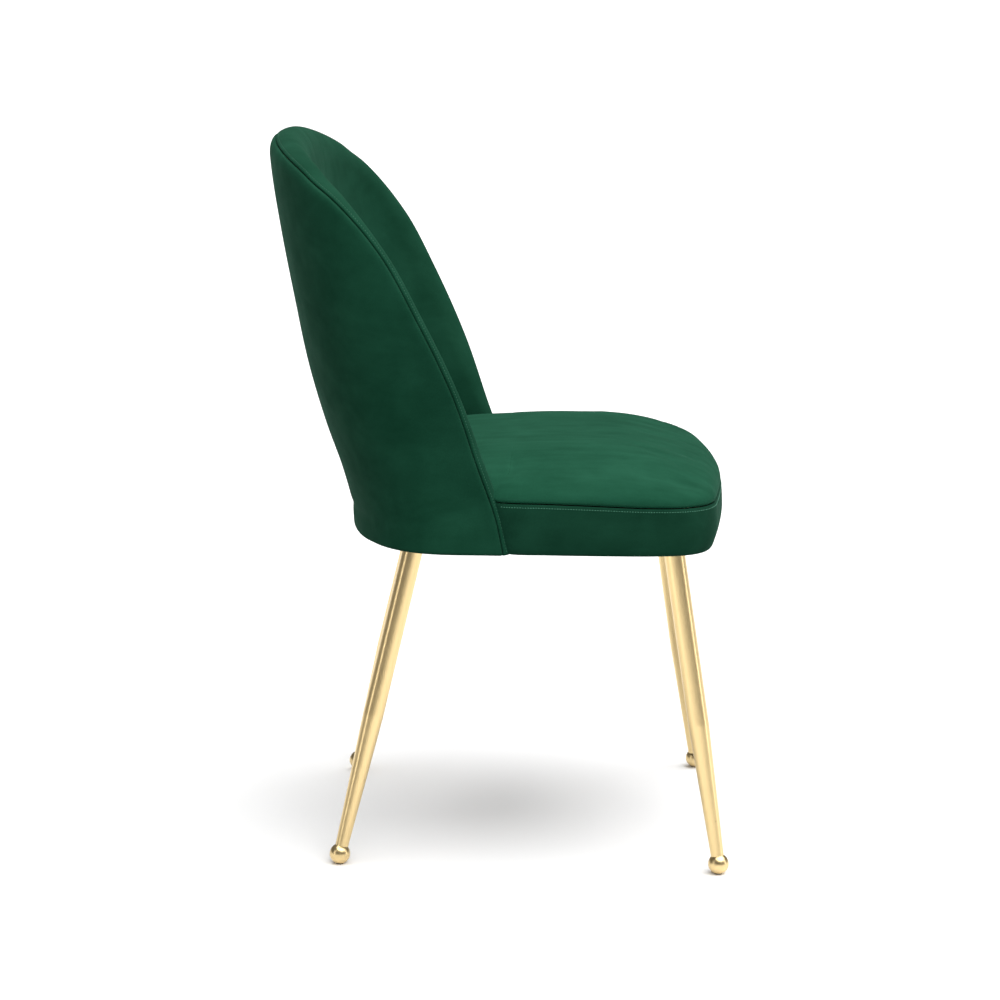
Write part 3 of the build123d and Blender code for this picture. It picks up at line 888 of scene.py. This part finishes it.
def dress(piece, material):
    piece.data.materials.clear()
    piece.data.materials.append(material)


PIECES = (
    (outer_back, velvet_back, "velvet", ("back_outer_cover", "back_outer_foam")),
    (inner_back, velvet_back, "velvet", ("back_inner_cover", "back_inner_foam")),
    (seat_top_piece, velvet_painted_light_seat, "velvet", ("seat_top_cover", "seat_foam")),
    (boxing_piece, velvet_painted_shade_boxing, "velvet", ("seat_boxing",)),
    (rim_thread, rim_green, "velvet", ()),
    (seat_thread, seat_green, "velvet", ()),
    (dust_piece, dust_cloth, "dust_cloth", ("dust_cover",)),
)
for piece, material, slot, nodes in PIECES:
    dress(piece, material)
    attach(piece, "root")
    if nodes:
        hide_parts(*nodes)

NODE_FINISHES = (
    ("leg_tube", brass),
    ("ball_foot", brass),
    ("glide", nylon),
    ("leg_plate", black_steel),
    ("leg_bolts", zinc),
    ("tee_nuts", zinc),
    ("shell_screws", zinc),
    ("board", plywood),
    ("shell", plywood),
)
for name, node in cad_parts.items():
    for ending, material in NODE_FINISHES:
        if name.endswith(ending):
            dress(node, material)

# ---------------------------------------------------------------- floor, light and camera

bpy.ops.object.select_all(action="DESELECT")
bpy.ops.mesh.primitive_plane_add(size=400, location=(0, 0, 0))
floor = bpy.context.object
floor.name = "floor"
floor_material, _, _, floor_shader = new_material("pale_floor")
floor_shader.inputs["Base Color"].default_value = (0.95, 0.95, 0.95, 1)
floor_shader.inputs["Roughness"].default_value = 0.9
dress(floor, floor_material)
# The floor shows and catches shadows, but throws no light back up on to the chair
floor.visible_diffuse = False


def softbox(name, place, target, size, power, in_gloss=True):
    """A soft lamp that shows either only in glossy surfaces or only as light on dull ones."""
    light = bpy.data.lights.new(name, "AREA")
    light.shape = "RECTANGLE"
    light.size, light.size_y = size
    light.energy = power
    lamp = bpy.data.objects.new(name, light)
    bpy.context.scene.collection.objects.link(lamp)
    lamp.location = place
    lamp.visible_diffuse, lamp.visible_glossy = not in_gloss, in_gloss
    lamp.rotation_euler = (Vector(target) - Vector(place)).to_track_quat("-Z", "Y").to_euler()


def soft_sun(name, towards, strength, spread):
    """A sun as wide as a studio's ceiling, so that the floor is lit evenly."""
    light = bpy.data.lights.new(name, "SUN")
    light.energy = strength
    light.angle = math.radians(spread)
    lamp = bpy.data.objects.new(name, light)
    bpy.context.scene.collection.objects.link(lamp)
    lamp.rotation_euler = Vector(towards).to_track_quat("-Z", "Y").to_euler()


soft_sun("ceiling", (0.14, 0.24, -1.0), 4.6, 80)
softbox("front_strip", (-0.6, -3.0, 0.9), (0, 0, 0.4), (0.5, 2.4), 14)
softbox("side_fill", (-3.2, -0.3, 1.0), (0, 0, 0.6), (2.2, 2.2), 60, in_gloss=False)
softbox("rear_strip", (-1.6, 2.6, 0.9), (0, 0, 0.4), (0.35, 2.4), 10)


def studio_world():
    """White behind the chair; dimmer for what lights and mirrors in it."""
    world = bpy.data.worlds.new("studio")
    bpy.context.scene.world = world
    world.use_nodes = True
    nodes, links = world.node_tree.nodes, world.node_tree.links
    backdrop = nodes["Background"]
    seen = nodes.new("ShaderNodeLightPath")
    strength = nodes.new("ShaderNodeMapRange")
    strength.inputs["To Min"].default_value = 0.16
    strength.inputs["To Max"].default_value = 1.15
    links.new(seen.outputs["Is Camera Ray"], strength.inputs["Value"])
    links.new(strength.outputs["Result"], backdrop.inputs["Strength"])
    backdrop.inputs["Color"].default_value = (1, 1, 1, 1)


studio_world()

CAMERA_TARGET = Vector((0, -0.0032, 0.3955))
CAMERA_DISTANCE = 3.3302
CAMERA_AZIMUTH = math.radians(0.3048)
CAMERA_ELEVATION = math.radians(10.9065)
CAMERA_ROLL = math.radians(0.4475)
CAMERA_LENS = 99.32


def add_camera():
    forward = Vector(
        (
            math.cos(CAMERA_AZIMUTH) * math.cos(CAMERA_ELEVATION),
            math.sin(CAMERA_AZIMUTH) * math.cos(CAMERA_ELEVATION),
            -math.sin(CAMERA_ELEVATION),
        )
    )
    data = bpy.data.cameras.new("camera")
    data.lens = CAMERA_LENS
    data.sensor_width = 36
    camera = bpy.data.objects.new("camera", data)
    bpy.context.scene.collection.objects.link(camera)
    camera.location = CAMERA_TARGET - forward * CAMERA_DISTANCE
    camera.rotation_euler = forward.to_track_quat("-Z", "Y").to_euler()
    camera.rotation_euler.rotate_axis("Z", CAMERA_ROLL)
    bpy.context.scene.camera = camera


add_camera()
bpy.context.scene.view_settings.view_transform = "Standard"
